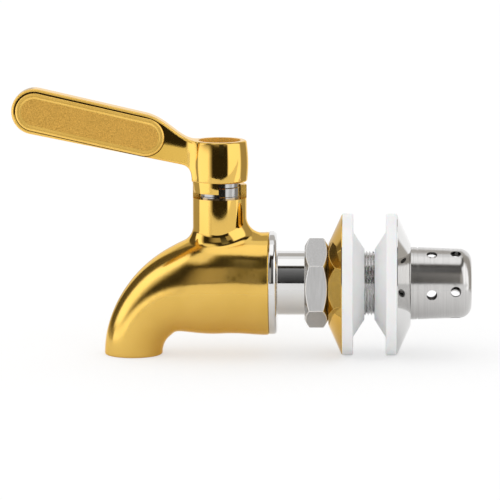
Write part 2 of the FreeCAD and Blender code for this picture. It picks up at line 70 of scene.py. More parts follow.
MM = 0.001                     # one millimetre, in the scene's metres
WELD = 1e-6                    # distance in metres below which two vertices become one
STRAIGHT = math.pi - 1e-3      # an outline's corner wider than this isn't rounded
FLAT_WITHIN = math.radians(0.5)  # turn between two faces that still counts as flat
AROUND = 144                   # segments round a turned piece and round the thread
FLAT_ON, SIDE_ON, EDGE_ON = 0.9995, 0.9, 0.05  # parts of a face's normal along Y: flat, mostly, barely
UPRIGHT = 0.1                  # part of its normal along Z below which a face stands upright
TRUE_NORMAL = "true_normal"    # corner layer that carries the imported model's own normals

Colour = tuple[float, float, float]
WHITE: Colour = (1.0, 1.0, 1.0)


class Slot(Enum):
    """Finish slots of the record that the pieces built here belong to."""

    GOLD = "gold_steel"
    FROSTED_GOLD = "frosted_gold_steel"
    POLISHED = "polished_steel"
    BRUSHED = "brushed_steel"
    SILICONE = "white_silicone"


def millimetres(node: str) -> tuple[Vector, Vector]:
    """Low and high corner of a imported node, in millimetres."""
    low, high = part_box(node)
    return Vector(low) / MM, Vector(high) / MM


def corner_arc(before: Vector, corner: Vector, after: Vector, radius: float, steps: int) -> list[Vector]:
    """Points of the arc that rounds one corner of an outline.

    Args:
        before: Point that the outline comes from.
        corner: The sharp corner.
        after: Point that the outline goes on to.
        radius: Radius of the rounding.
        steps: Spans in the arc.

    Returns:
        The arc's points in order, or the corner alone where there is nothing to round.
    """
    come = (before - corner).normalized()
    leave = (after - corner).normalized()
    angle = come.angle(leave)
    if radius <= 0 or angle > STRAIGHT:
        return [corner]
    back = radius / math.tan(angle / 2)
    centre = corner + (come + leave).normalized() * (radius / math.sin(angle / 2))
    start = corner + come * back - centre
    end = corner + leave * back - centre
    arc = [start.slerp(end, k / steps) for k in range(steps + 1)]
    return [centre + point * radius / point.length for point in arc]


def rounded_outline(corners: list[tuple[float, float, float]], steps: int = 6) -> list[Vector]:
    """Open outline with its inner corners rounded.

    Args:
        corners: (along, radius, rounding) of each corner, in millimetres.
        steps: Spans in each rounding.

    Returns:
        Points (along, radius), in millimetres.
    """
    flat = [Vector((along, radius, 0.0)) for along, radius, _ in corners]
    points = [flat[0]]
    for k in range(1, len(flat) - 1):
        points += corner_arc(flat[k - 1], flat[k], flat[k + 1], corners[k][2], steps)
    points.append(flat[-1])
    return points


def turned_x(mesh: bmesh.types.BMesh, outline: list[Vector]) -> None:
    """Turns an outline full circle about the X axis.

    Args:
        mesh: Mesh that gets the faces.
        outline: Points (along, radius), in millimetres.
    """
    verts = [mesh.verts.new(Vector((p.x, 0.0, p.y)) * MM) for p in outline]
    edges = [mesh.edges.new(pair) for pair in zip(verts, verts[1:])]
    bmesh.ops.spin(mesh, geom=verts + edges, cent=(0.0, 0.0, 0.0), axis=(1.0, 0.0, 0.0), angle=math.tau,
                   steps=AROUND, use_merge=True)


def finished(name: str, mesh: bmesh.types.BMesh, finishes: list[bpy.types.Material], body: str, slot: Slot,
             node: str, sharp: float = 30.0, flats: bool = False) -> None:
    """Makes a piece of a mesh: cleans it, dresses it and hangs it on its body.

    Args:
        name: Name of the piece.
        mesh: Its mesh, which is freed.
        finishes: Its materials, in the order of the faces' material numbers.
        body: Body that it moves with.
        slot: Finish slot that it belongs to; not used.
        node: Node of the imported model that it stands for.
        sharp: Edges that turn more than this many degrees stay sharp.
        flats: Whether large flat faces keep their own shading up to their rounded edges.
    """
    bmesh.ops.remove_doubles(mesh, verts=mesh.verts, dist=WELD)
    bmesh.ops.recalc_face_normals(mesh, faces=mesh.faces)
    limit = math.radians(sharp)
    for face in mesh.faces:
        face.smooth = True
    for edge in mesh.edges:
        edge.smooth = len(edge.link_faces) != 2 or edge.calc_face_angle(0.0) <= limit
    data = bpy.data.meshes.new(name)
    mesh.to_mesh(data)
    mesh.free()
    kept = data.attributes.get(TRUE_NORMAL)
    if kept is not None:
        data.normals_split_custom_set([item.vector.copy() for item in kept.data])
        data.attributes.remove(data.attributes[TRUE_NORMAL])
    for finish in finishes:
        data.materials.append(finish)
    piece = bpy.data.objects.new(name, data)
    bpy.context.scene.collection.objects.link(piece)
    if flats:
        weighted = piece.modifiers.new("even_shading", "WEIGHTED_NORMAL")
        weighted.keep_sharp = True
    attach(piece, body)
    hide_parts(node)
    log.info("%s: %d faces on %s", name, len(data.polygons), body)


def surface_of(node: str, dissolve: bool = False) -> bmesh.types.BMesh:
    """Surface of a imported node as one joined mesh.

    Args:
        node: Name of the node.
        dissolve: Whether flat areas become single faces, as rounded edges need. Otherwise each
            corner keeps the true normal of the solid's surface.

    Returns:
        A new mesh; the node itself stays as it is.
    """
    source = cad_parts[node].data
    mesh = bmesh.new()
    mesh.from_mesh(source)
    if not dissolve:
        layer = mesh.loops.layers.float_vector.new(TRUE_NORMAL)
        normals = source.corner_normals
        for face, polygon in zip(mesh.faces, source.polygons):
            for corner, number in zip(face.loops, polygon.loop_indices):
                corner[layer] = normals[number].vector
    bmesh.ops.remove_doubles(mesh, verts=mesh.verts, dist=WELD)
    if dissolve:
        bmesh.ops.dissolve_limit(mesh, angle_limit=FLAT_WITHIN, verts=mesh.verts, edges=mesh.edges)
    return mesh


def eased(mesh: bmesh.types.BMesh, width: float, over: float, segments: int, number: int) -> None:
    """Rounds the sharp edges of a mesh.

    Args:
        mesh: Mesh to change.
        width: Width of the rounding in millimetres.
        over: Edges that turn more than this many degrees are rounded.
        segments: Spans in the rounding.
        number: Material number of the rounding.
    """
    limit = math.radians(over)
    edges = [e for e in mesh.edges if len(e.link_faces) == 2 and e.calc_face_angle(0.0) > limit]
    bmesh.ops.bevel(mesh, geom=edges, offset=width * MM, offset_type="OFFSET", segments=segments,
                    profile=0.5, affect="EDGES", material=number, clamp_overlap=True)


def dress(node: str, finish: bpy.types.Material) -> None:
    """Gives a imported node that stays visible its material."""
    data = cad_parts[node].data
    data.materials.clear()
    data.materials.append(finish)


class Graph:
    """Small helper that builds the nodes of a material."""

    def __init__(self, name: str) -> None:
        """Starts a material with its output and shader."""
        self.material = bpy.data.materials.new(name)
        self.material.use_nodes = True
        self.tree = self.material.node_tree
        self.tree.nodes.clear()
        self.output = self.add("ShaderNodeOutputMaterial")
        self.shader = self.add("ShaderNodeBsdfPrincipled")
        self.link(self.shader.outputs["BSDF"], self.output.inputs["Surface"])

    def add(self, kind: str, **settings: object) -> bpy.types.Node:
        """Adds a node and sets its properties."""
        node = self.tree.nodes.new(kind)
        for key, value in settings.items():
            setattr(node, key, value)
        return node

    def link(self, out: bpy.types.NodeSocket, into: bpy.types.NodeSocket) -> None:
        """Links two sockets."""
        self.tree.links.new(out, into)

    def maths(self, operation: str, *values: object) -> bpy.types.NodeSocket:
        """Result of an operation on sockets and numbers."""
        return maths(self.tree, operation, *values)

    def coordinates(self, scale: tuple[float, float, float] = (1.0, 1.0, 1.0)) -> bpy.types.NodeSocket:
        """Object coordinates in metres, scaled."""
        where = self.add("ShaderNodeTexCoord")
        mapping = self.add("ShaderNodeMapping")
        mapping.inputs["Scale"].default_value = scale
        self.link(where.outputs["Object"], mapping.inputs["Vector"])
        return mapping.outputs["Vector"]

    def noise(self, vector: bpy.types.NodeSocket, scale: float, detail: float = 3.0) -> bpy.types.NodeSocket:
        """Noise on a vector, spread over 0 to 1."""
        node = self.add("ShaderNodeTexNoise")
        node.inputs["Scale"].default_value = scale
        node.inputs["Detail"].default_value = detail
        self.link(vector, node.inputs["Vector"])
        return self.spread(node.outputs["Fac"], 0.3, 0.7, 0.0, 1.0)

    def spread(self, value: bpy.types.NodeSocket, start: float, end: float, low: float, high: float
               ) -> bpy.types.NodeSocket:
        """Maps the range from start to end onto low to high."""
        node = self.add("ShaderNodeMapRange")
        for socket, number in zip(("From Min", "From Max", "To Min", "To Max"), (start, end, low, high)):
            node.inputs[socket].default_value = number
        self.link(value, node.inputs["Value"])
        return node.outputs["Result"]

    def rough(self, value: bpy.types.NodeSocket) -> None:
        """Sets the roughness."""
        self.link(value, self.shader.inputs["Roughness"])

    def bump(self, value: bpy.types.NodeSocket, strength: float, depth: float) -> None:
        """Bumps the shader by a value, over a depth in millimetres."""
        node = self.add("ShaderNodeBump")
        node.inputs["Strength"].default_value = strength
        node.inputs["Distance"].default_value = depth * MM
        self.link(value, node.inputs["Height"])
        self.link(node.outputs["Normal"], self.shader.inputs["Normal"])

    def tint(self, value: bpy.types.NodeSocket, dark: Colour, light: Colour) -> None:
        """Colours the shader between two colours by a value."""
        ramp = self.add("ShaderNodeValToRGB")
        ramp.color_ramp.elements[0].color = (*dark, 1.0)
        ramp.color_ramp.elements[1].color = (*light, 1.0)
        self.link(value, ramp.inputs["Fac"])
        self.link(ramp.outputs["Color"], self.shader.inputs["Base Color"])


def maths(tree: bpy.types.NodeTree, operation: str, *values: object) -> bpy.types.NodeSocket:
    """Adds a math node with sockets or numbers as inputs and returns its output."""
    node = tree.nodes.new("ShaderNodeMath")
    node.operation = operation
    for socket, value in zip(node.inputs, values):
        if isinstance(value, (int, float)):
            socket.default_value = value
        else:
            tree.links.new(value, socket)
    return node.outputs[0]


@dataclass(frozen=True)
class Crown:
    """Slight crown across the lever's leaning blade, drawn by its finish.

    Args:
        height: Height of a point on the crown's line, in millimetres.
        out: Its distance out from the lever's axis, in millimetres.
        lean: Lean of the line in degrees.
        curve: Fall of the face, in millimetres, at one millimetre from the line; it grows with the
            square of the distance.
    """

    height: float
    out: float
    lean: float
    curve: float

    def fall(self, graph: Graph, place: bpy.types.NodeSocket) -> bpy.types.NodeSocket:
        """Height of the crowned face against its line, in millimetres."""
        hub_x = sum(side.x for side in millimetres("spacer_ring")) / 2
        split = graph.add("ShaderNodeSeparateXYZ")
        graph.link(place, split.inputs[0])
        turn = math.radians(self.lean)
        start = (hub_x - self.out) * math.sin(turn) + self.height * math.cos(turn)
        along = graph.maths("MULTIPLY", split.outputs["X"], math.sin(turn) / MM)
        across = graph.maths("MULTIPLY_ADD", split.outputs["Z"], math.cos(turn) / MM, along)
        off = graph.maths("SUBTRACT", across, start)
        return graph.maths("MULTIPLY", graph.maths("MULTIPLY", off, off), -self.curve)


@dataclass(frozen=True)
class PolishedMetal:
    """Polished metal with the faint waviness and haze of buffing.

    Args:
        name: Name of the material.
        dark: Base colour where the polish is thinnest.
        light: Base colour elsewhere.
        smooth: Lowest roughness.
        dull: Highest roughness.
        edge: Tint of its reflection at grazing angles.
        coat: Weight of the thin clear coat.
        metallic: Share of the metal's mirror; the rest scatters light as a lapped surface does.
        satin_below: Height in millimetres below which the polish turns satin.
        satin: Roughness added there.
        satin_fade: Height in millimetres over which it sets in.
        crown: Crown that the finish draws on a flat face.
        patches: Patches of thinner polish per metre.
        haze: Patches of duller polish per metre.
        waves: Waves of the buffing per metre.
    """

    name: str
    dark: Colour
    light: Colour
    smooth: float
    dull: float
    edge: Colour = WHITE
    coat: float = 0.0
    metallic: float = 1.0
    satin_below: float | None = None
    satin: float = 0.0
    satin_fade: float = 4.0
    crown: Crown | None = None
    patches: float = 90.0
    haze: float = 420.0
    waves: float = 160.0

    def material(self) -> bpy.types.Material:
        """Builds the material."""
        graph = Graph(self.name)
        graph.shader.inputs["Metallic"].default_value = self.metallic
        graph.shader.inputs["Specular Tint"].default_value = (*self.edge, 1.0)
        graph.shader.inputs["Coat Weight"].default_value = self.coat
        graph.shader.inputs["Coat Roughness"].default_value = 0.03
        place = graph.coordinates()
        graph.tint(graph.noise(place, self.patches, 2.0), self.dark, self.light)
        rough = graph.spread(graph.noise(place, self.haze, 4.0), 0.0, 1.0, self.smooth, self.dull)
        if self.satin_below is not None:
            split = graph.add("ShaderNodeSeparateXYZ")
            graph.link(place, split.inputs[0])
            low = self.satin_below * MM
            share = graph.spread(split.outputs["Z"], low, low + self.satin_fade * MM, self.satin, 0.0)
            rough = graph.maths("ADD", rough, share)
        graph.rough(rough)
        if self.crown is None:
            graph.bump(graph.noise(place, self.waves, 1.0), 0.05, 0.03)
        else:
            graph.bump(self.crown.fall(graph, place), 1.0, 1.0)
        return graph.material


@dataclass(frozen=True)
class BrushedMetal:
    """Metal with turning or brushing marks.

    Args:
        name: Name of the material.
        dark: Base colour in the marks.
        light: Base colour between them.
        marks: Marks per metre along X, Y and Z.
        smooth: Lowest roughness.
        dull: Highest roughness.
        strength: Strength of the bump.
        across: How much farther the mirror spreads across the marks than along them.
    """

    name: str
    dark: Colour
    light: Colour
    marks: tuple[float, float, float]
    smooth: float
    dull: float
    strength: float = 0.04
    across: float = 0.35

    def material(self) -> bpy.types.Material:
        """Builds the material."""
        graph = Graph(self.name)
        graph.shader.inputs["Metallic"].default_value = 1.0
        graph.shader.inputs["Anisotropic"].default_value = self.across
        marks = graph.noise(graph.coordinates(self.marks), 1.0, 5.0)
        graph.tint(marks, self.dark, self.light)
        graph.rough(graph.spread(marks, 0.0, 1.0, self.dull, self.smooth))
        graph.bump(marks, self.strength, 0.02)
        return graph.material


@dataclass(frozen=True)
class BlastedMetal:
    """Bead-blasted metal: a fine even grain that glints.

    Args:
        name: Name of the material.
        dark: Base colour in the pits.
        light: Base colour on the grains.
        grains: Grains per metre.
        patches: Patches of duller grain for each grain.
        smooth: Lowest roughness.
        dull: Highest roughness.
        metallic: Share of the metal's mirror; the rest scatters light off the grains.
    """

    name: str
    dark: Colour
    light: Colour
    grains: float
    patches: float = 0.3
    smooth: float = 0.42
    dull: float = 0.56
    metallic: float = 0.5

    def material(self) -> bpy.types.Material:
        """Builds the material."""
        graph = Graph(self.name)
        graph.shader.inputs["Metallic"].default_value = self.metallic
        place = graph.coordinates()
        grain = graph.noise(place, self.grains)
        graph.tint(grain, self.dark, self.light)
        patches = graph.noise(place, self.grains * self.patches, 2.0)
        graph.rough(graph.spread(patches, 0.0, 1.0, self.smooth, self.dull))
        graph.bump(grain, 0.6, 0.08)
        return graph.material


@dataclass(frozen=True)
class Moulded:
    """Moulded rubber or plastic with a fine skin.

    Args:
        name: Name of the material.
        dark: Colour in the darker of its clouds.
        light: Colour elsewhere.
        roughness: Middle roughness.
        softness: Share of light that spreads inside it.
        strength: Strength of the bump.
        spread: How far light spreads inside it, in millimetres.
        vary: How far the roughness strays from its middle.
        pores: Pores of the skin per metre.
        clouds: Clouds of its colour per metre.
    """

    name: str
    dark: Colour
    light: Colour
    roughness: float
    softness: float
    strength: float
    spread: float = 1.2
    vary: float = 0.06
    pores: float = 2600.0
    clouds: float = 120.0

    def material(self) -> bpy.types.Material:
        """Builds the material."""
        graph = Graph(self.name)
        graph.shader.inputs["IOR"].default_value = 1.42
        graph.shader.inputs["Subsurface Weight"].default_value = self.softness
        graph.shader.inputs["Subsurface Scale"].default_value = self.spread * MM
        place = graph.coordinates()
        skin = graph.noise(place, self.pores)
        graph.tint(graph.noise(place, self.clouds), self.dark, self.light)
        low, high = self.roughness - self.vary, self.roughness + self.vary
        graph.rough(graph.spread(skin, 0.0, 1.0, low, high))
        graph.bump(skin, self.strength, 0.02)
        return graph.material


class Finishes:
    """All the spigot's materials."""

    def __init__(self) -> None:
        """Builds each material once."""
        gold: tuple[Colour, Colour] = (0.74, 0.462, 0.088), (0.80, 0.512, 0.108)
        lapped_gold: tuple[Colour, Colour] = (0.88, 0.54, 0.11), (0.96, 0.60, 0.13)
        frosted_gold: tuple[Colour, Colour] = (0.66, 0.365, 0.055), (0.96, 0.56, 0.11)
        # painted shade: colour of the thin seam at the foot of the grip plates' border
        shade_gold: tuple[Colour, Colour] = (0.07, 0.035, 0.008), (0.11, 0.055, 0.012)
        steel: tuple[Colour, Colour] = (0.70, 0.695, 0.685), (0.77, 0.765, 0.755)
        # painted highlight: pale, half-diffuse steel for the nut's eased edges, so that they show as bright
        # lines
        highlight_steel: tuple[Colour, Colour] = (0.84, 0.835, 0.83), (0.90, 0.895, 0.89)
        # painted shade: polished steel darkened for the spacer ring and gland nut, which sit in the shaded
        # gap between the hub and the neck
        gap_shade_steel: tuple[Colour, Colour] = (0.38, 0.375, 0.37), (0.44, 0.435, 0.43)
        cut_steel: tuple[Colour, Colour] = (0.60, 0.595, 0.59), (0.68, 0.675, 0.67)
        turned_steel: tuple[Colour, Colour] = (0.56, 0.55, 0.54), (0.63, 0.62, 0.61)
        nut_steel: tuple[Colour, Colour] = (0.46, 0.455, 0.45), (0.52, 0.515, 0.51)
        rim: Colour = (1.0, 0.78, 0.34)
        crown = Crown(height=45.6, out=45.67, lean=12.9, curve=0.0205)

        self.body_gold = PolishedMetal("satin_gold", *gold, 0.05, 0.08, edge=rim, coat=0.5,
                                       satin_below=9.0, satin=0.09).material()
        self.gold = PolishedMetal("polished_gold", *gold, 0.05, 0.09, edge=rim, coat=0.5).material()
        self.crowned = PolishedMetal("crowned_gold", *gold, 0.06, 0.10, edge=rim, coat=0.5,
                                     crown=crown).material()
        self.satin_gold = PolishedMetal("lapped_gold", *lapped_gold, 0.22, 0.30, edge=rim, coat=0.3,
                                        metallic=0.4).material()
        # painted shade: near-black gold for the seam at the foot of each grip plate's border, standing in for
        # the shade and dark reflection there
        self.seam = PolishedMetal("shaded_seam_gold", *shade_gold, 0.25, 0.4, edge=rim).material()
        self.frosted = BlastedMetal("frosted_gold", *frosted_gold, grains=3000.0).material()
        self.polished = PolishedMetal("polished_steel", *steel, 0.05, 0.09).material()
        self.edge_highlight_steel = PolishedMetal("highlight_steel", *highlight_steel, 0.2, 0.28, metallic=0.4).material()
        self.gap_shade = PolishedMetal("gap_shade_steel", *gap_shade_steel, 0.08, 0.12).material()
        self.cut = PolishedMetal("cut_steel", *cut_steel, 0.04, 0.08).material()
        self.turned = BrushedMetal("turned_steel", *turned_steel, (5200.0, 60.0, 60.0), 0.17, 0.23).material()
        self.brushed = BrushedMetal("brushed_steel", *nut_steel, (2400.0, 2400.0, 200.0), 0.20,
                                    0.27).material()
        self.silicone = Moulded("white_silicone", (0.84, 0.84, 0.84), (0.89, 0.89, 0.89), roughness=0.42,
                                softness=0.2, strength=0.1).material()
        self.seat = Moulded("seat_plastic", (0.82, 0.82, 0.79), (0.88, 0.88, 0.86), roughness=0.4,
                            softness=0.1, strength=0.1).material()
        self.rubber = Moulded("black_rubber", (0.02, 0.02, 0.02), (0.04, 0.04, 0.04), roughness=0.5,
                              softness=0.0, strength=0.3).material()


@dataclass
class GripPlate:
    """Grip plate: a bright convex border round a frosted field, with a thin seam painted dark as shade at the
    border's foot; lengths in millimetres.
    """

    finishes: Finishes
    node: str
    side: int                    # 1 where the plate faces +Y, -1 where it faces -Y
    overlap: float = 0.32        # how far the border reaches over the handle's face round the pocket
    border: float = 1.45         # width of the border
    proud: float = 0.6           # how far the crest stands out of the handle's face
    round_h: float = 0.42        # height of the border's rounding
    dip: float = 0.16            # how far the field lies below the border's crest
    inset: float = 0.05          # how far the plate's foot stays inside the pocket's wall
    seam: float = 0.2            # width of the seam at the border's foot, painted dark as shade
    shaded_seam_lift: float = 0.02      # height of the seam's outer edge over the handle's face
    shaded_seam_rise: float = 0.02      # rise of the seam from there to the border
    end_steps: int = 40          # spans round each end
    straight_steps: int = 24     # spans along each side
    round_steps: int = 8         # spans in the border's rounding
    dip_steps: int = 6           # spans in its fall to the field

    def centre_line(self) -> tuple[Vector, Vector, float]:
        """Ends of the plate's middle line and the radius of its round ends."""
        low, high = millimetres(self.node)
        mesh = surface_of(self.node)
        left = min(mesh.verts, key=lambda v: v.co.x).co / MM
        right = max(mesh.verts, key=lambda v: v.co.x).co / MM
        mesh.free()
        radius = high.z - left.z
        start = Vector((left.x + radius, 0.0, high.z - radius))
        end = Vector((right.x - radius, 0.0, low.z + radius))
        return start, end, radius

    def ring(self, start: Vector, end: Vector, radius: float, height: float) -> list[Vector]:
        """Stadium outline at a radius and height, in metres."""
        along = (end - start).normalized()
        across = Vector((-along.z, 0.0, along.x))
        points = []
        for centre, turn in ((end, math.pi / 2), (start, -math.pi / 2)):
            for k in range(self.end_steps + 1):
                angle = turn - math.pi * k / self.end_steps
                points.append(centre + (along * math.cos(angle) + across * math.sin(angle)) * radius)
            other = start if centre is end else end
            shift = other - centre
            last = points[-1]
            points += [last + shift * (k / self.straight_steps) for k in range(1, self.straight_steps)]
        return [(p + Vector((0.0, height, 0.0))) * MM for p in points]

    def build(self) -> None:
        """Builds the plate as rings drawn inwards over its border, and fills the field."""
        start, end, radius = self.centre_line()
        low, high = millimetres(self.node)
        floor = low.y if self.side > 0 else high.y
        crest = high.y if self.side > 0 else low.y
        rise = abs(crest - floor)
        outer = radius + self.overlap
        edge = rise - self.proud + self.shaded_seam_lift
        foot = radius - self.inset
        half = self.border / 2
        profile = [(foot, 0.0), (foot, edge), (outer + self.seam, edge),
                   (outer, edge + self.shaded_seam_rise), (outer, rise - self.round_h)]
        shaded_seam_step = 2            # the step of the profile that is the seam painted dark as shade
        for k in range(1, self.round_steps + 1):
            lean = math.pi / 2 * k / self.round_steps
            profile.append((outer - half * (1 - math.cos(lean)), rise - self.round_h * (1 - math.sin(lean))))
        for k in range(1, self.dip_steps + 1):
            share = k / self.dip_steps
            drop = self.dip * (1 - math.cos(math.pi * share)) / 2
            profile.append((outer - half * (1 + share), rise - drop))
        mesh = bmesh.new()
        rows = [[mesh.verts.new(point) for point in self.ring(start, end, out, floor + self.side * up)]
                for out, up in profile]
        # material numbers: border, field, and the seam painted dark as shade
        border, field, seam = 0, 1, 2
        for step, (row, inner) in enumerate(zip(rows, rows[1:])):
            for k in range(len(row)):
                face = mesh.faces.new((row[k - 1], row[k], inner[k], inner[k - 1]))
                face.material_index = seam if step == shaded_seam_step else border
        for row, number in ((rows[-1], field), (rows[0], border)):
            mesh.faces.new(row).material_index = number
        finished(self.node + "_visual", mesh,
                 [self.finishes.satin_gold, self.finishes.frosted, self.finishes.seam], "lever",
                 Slot.FROSTED_GOLD, self.node, flats=True)


@dataclass
class TailPipe:
    """Flange, plain shank and threaded pipe in one piece; lengths in millimetres."""

    finishes: Finishes
    pitch: float = 0.75
    thread_depth: float = 0.46
    thread_root: float = 0.12    # share of half a pitch that the thread's root takes
    thread_flank: float = 0.70   # and that its flank takes; the rest is crest
    grid_steps: int = 12         # spans along each pitch
    shank_r: float = 7.9
    thread_r: float = 7.98
    thread_from: float = -12.0   # where the thread begins on the X axis
    bore_r: float = 5.0
    chamfer: float = 0.5         # at the end inside the dispenser
    inside: float = 5.4          # length that goes into the body, up to the flange
    cavity_r: float = 9.0        # radius of that length
    groove_w: float = 1.8
    groove_depth: float = 1.3
    flange_t: float = 2.0
    edge_round: float = 0.3      # rounding of the bore's mouths and of the flange's front edge
    back_round: float = 0.9      # rounding of the flange's back edge
    root_round: float = 0.25     # rounding between the flange and the shank
    lip_round: float = 0.15      # rounding of the edge that enters the body
    groove_round: float = 0.1

    def radius_at(self, x: float, turn: float, length: float) -> float:
        """Radius of the thread's surface at a place along it and a turn round it."""
        phase = (x / self.pitch - turn / math.tau) % 1.0
        wave = 1 - abs(2 * phase - 1)
        form = min(1.0, max(0.0, (wave - self.thread_root) / self.thread_flank))
        fade_in = min(1.0, max(0.0, x / self.pitch))
        fade_out = min(1.0, max(0.0, (length - x) / self.pitch))
        depth = self.thread_depth * min(fade_in, fade_out)
        base = self.shank_r + (self.thread_r - self.shank_r) * min(fade_in, fade_out)
        return base - depth * (1 - form)

    def thread(self, mesh: bmesh.types.BMesh, end_x: float) -> None:
        """Threaded length as a grid wrapped round the X axis."""
        length = end_x - self.thread_from
        count = int(length / self.pitch * self.grid_steps)
        turned = set(mesh.faces)
        made = bmesh.ops.create_grid(mesh, x_segments=count, y_segments=AROUND, size=0.5)
        for vert in made["verts"]:
            x = (vert.co.x + 0.5) * length
            turn = (vert.co.y + 0.5) * math.tau
            radius = self.radius_at(x, turn, length)
            vert.co = Vector((self.thread_from + x, radius * math.sin(turn), radius * math.cos(turn))) * MM
        for face in mesh.faces:
            if face not in turned:
                face.material_index = 1

    def build(self) -> None:
        """Builds the pipe: its turned parts and its thread."""
        low, high = millimetres("tail_pipe")
        left, right, flange_r = low.x, high.x, high.z
        face = left + self.inside
        groove = face - self.groove_w
        floor_r = self.cavity_r - self.groove_depth
        back = face + self.flange_t
        thread_end = right - self.chamfer
        mesh = bmesh.new()
        turned_x(mesh, rounded_outline([
            (thread_end, self.shank_r, 0.0),
            (right, self.shank_r - self.chamfer, 0.0),
            (right, self.bore_r, self.edge_round),
            (left, self.bore_r, self.edge_round),
            (left, self.cavity_r, self.lip_round),
            (groove, self.cavity_r, self.groove_round),
            (groove, floor_r, self.groove_round),
            (face, floor_r, 0.0),
            (face, flange_r, self.edge_round),
            (back, flange_r, self.back_round),
            (back, self.shank_r, self.root_round),
            (self.thread_from, self.shank_r, 0.0),
        ]))
        self.thread(mesh, thread_end)
        finished("threaded_tail_pipe", mesh, [self.finishes.polished, self.finishes.cut], "spigot",
                 Slot.POLISHED, "tail_pipe", flats=True)


@dataclass
class Lever:
    """Lever handle with its hub, grip plates, screw and washer; lengths in millimetres."""

    finishes: Finishes
    lug_draw: float = 0.28       # how far the lug's foot is drawn in towards the axis
    lug_out: float = 6.0         # the lug's outer wall lies farther out than this
    lug_from: float = 0.01       # share of the lug's height that stays as it is
    blade_gap: float = 1.0       # from the ring's rim to where the blade counts as begun
    root_length: float = 7.0     # from the ring's rim to the end of the blade's curved root
    well_r: float = 5.3          # the hub's well lies within this radius
    well_rise: float = 4.0       # and farther above the ring than this

    def build(self) -> None:
        """Builds the lever's pieces."""
        finishes = self.finishes
        finished("lever_handle", self.handle(), [finishes.gold, finishes.crowned, finishes.satin_gold],
                 "lever", Slot.GOLD, "handle", sharp=28.0)
        GripPlate(finishes, "front_grip_plate", -1).build()
        GripPlate(finishes, "rear_grip_plate", 1).build()
        for node in ("lock_washer", "handle_screw", "valve_stem"):
            dress(node, finishes.brushed)
        dress("valve_ball", finishes.polished)
        # the spacer ring gets the steel darkened as painted shade
        dress("spacer_ring", finishes.gap_shade)
        for node in ("stem_o_ring_lower", "stem_o_ring_upper"):
            dress(node, finishes.rubber)

    def handle(self) -> bmesh.types.BMesh:
        """Handle with its lug drawn in towards its foot.

        Returns:
            Its mesh, with the blade's faces numbered 1, the blade's rounded edges and the hub's well 2.
        """
        mesh = surface_of("handle")
        low, high = millimetres("spacer_ring")
        hub_x = (low.x + high.x) / 2
        drop = high.z - millimetres("handle")[0].z
        self.draw_lug(mesh, Vector((hub_x, 0.0, high.z)), drop)
        crowned, satin = 1, 2
        for face in mesh.faces:
            face.normal_update()
            middle = face.calc_center_median() / MM
            out = math.hypot(middle.x - hub_x, middle.y)
            facing = abs(face.normal.y)
            on_blade = middle.x < low.x - self.blade_gap
            at_root = on_blade and middle.x > low.x - self.root_length and abs(face.normal.z) < UPRIGHT
            if on_blade and facing > FLAT_ON or at_root and facing > SIDE_ON:
                face.material_index = crowned
            elif on_blade and not at_root and facing > EDGE_ON:
                face.material_index = satin
            elif out < self.well_r and middle.z > high.z + self.well_rise:
                face.material_index = satin
        return mesh

    def draw_lug(self, mesh: bmesh.types.BMesh, top: Vector, drop: float) -> None:
        """Draws the lug in towards the lever's axis, the more the lower.

        Args:
            mesh: Mesh of the handle.
            top: Point on the axis at the height where the lug begins, in millimetres.
            drop: Height of the lug, in millimetres.
        """
        normals = mesh.loops.layers.float_vector[TRUE_NORMAL]
        lean = Vector((0.0, 0.0, self.lug_draw / drop))
        for vert in mesh.verts:
            below = (top.z - vert.co.z / MM) / drop
            arm = Vector((vert.co.x / MM - top.x, vert.co.y / MM, 0.0))
            if below > self.lug_from and arm.length > self.lug_out:
                arm.normalize()
                vert.co -= arm * (self.lug_draw * below * MM)
                for corner in vert.link_loops:
                    if corner[normals].dot(arm) > SIDE_ON:
                        corner[normals] = (corner[normals] - lean).normalized()


@dataclass
class WallClamp:
    """Nut, dished washers, silicone seals and strainer cap on the tail."""

    finishes: Finishes
    nut_edge: float = 0.26       # width of the nut's eased edges, in millimetres

    def build(self) -> None:
        """Builds the pieces that clamp the spigot in the dispenser's wall."""
        finishes = self.finishes
        nut = surface_of("hex_nut", dissolve=True)
        # the eased edges get the pale steel of a painted highlight
        eased(nut, self.nut_edge, over=25.0, segments=3, number=1)
        finished("hexagon_nut", nut, [finishes.brushed, finishes.edge_highlight_steel], "nut", Slot.BRUSHED,
                 "hex_nut", flats=True)
        for name, node, finish, body, slot in (
                ("gold_dished_washer", "outer_washer", finishes.gold, "outer_clamp", Slot.GOLD),
                ("steel_dished_washer", "inner_washer", finishes.polished, "inner_clamp", Slot.POLISHED),
                ("outer_silicone_seal", "outer_seal", finishes.silicone, "outer_clamp", Slot.SILICONE),
                ("inner_silicone_seal", "inner_seal", finishes.silicone, "inner_clamp", Slot.SILICONE),
                ("strainer_shell", "strainer_cap", finishes.turned, "strainer", Slot.BRUSHED)):
            finished(name, surface_of(node), [finish], body, slot, node)


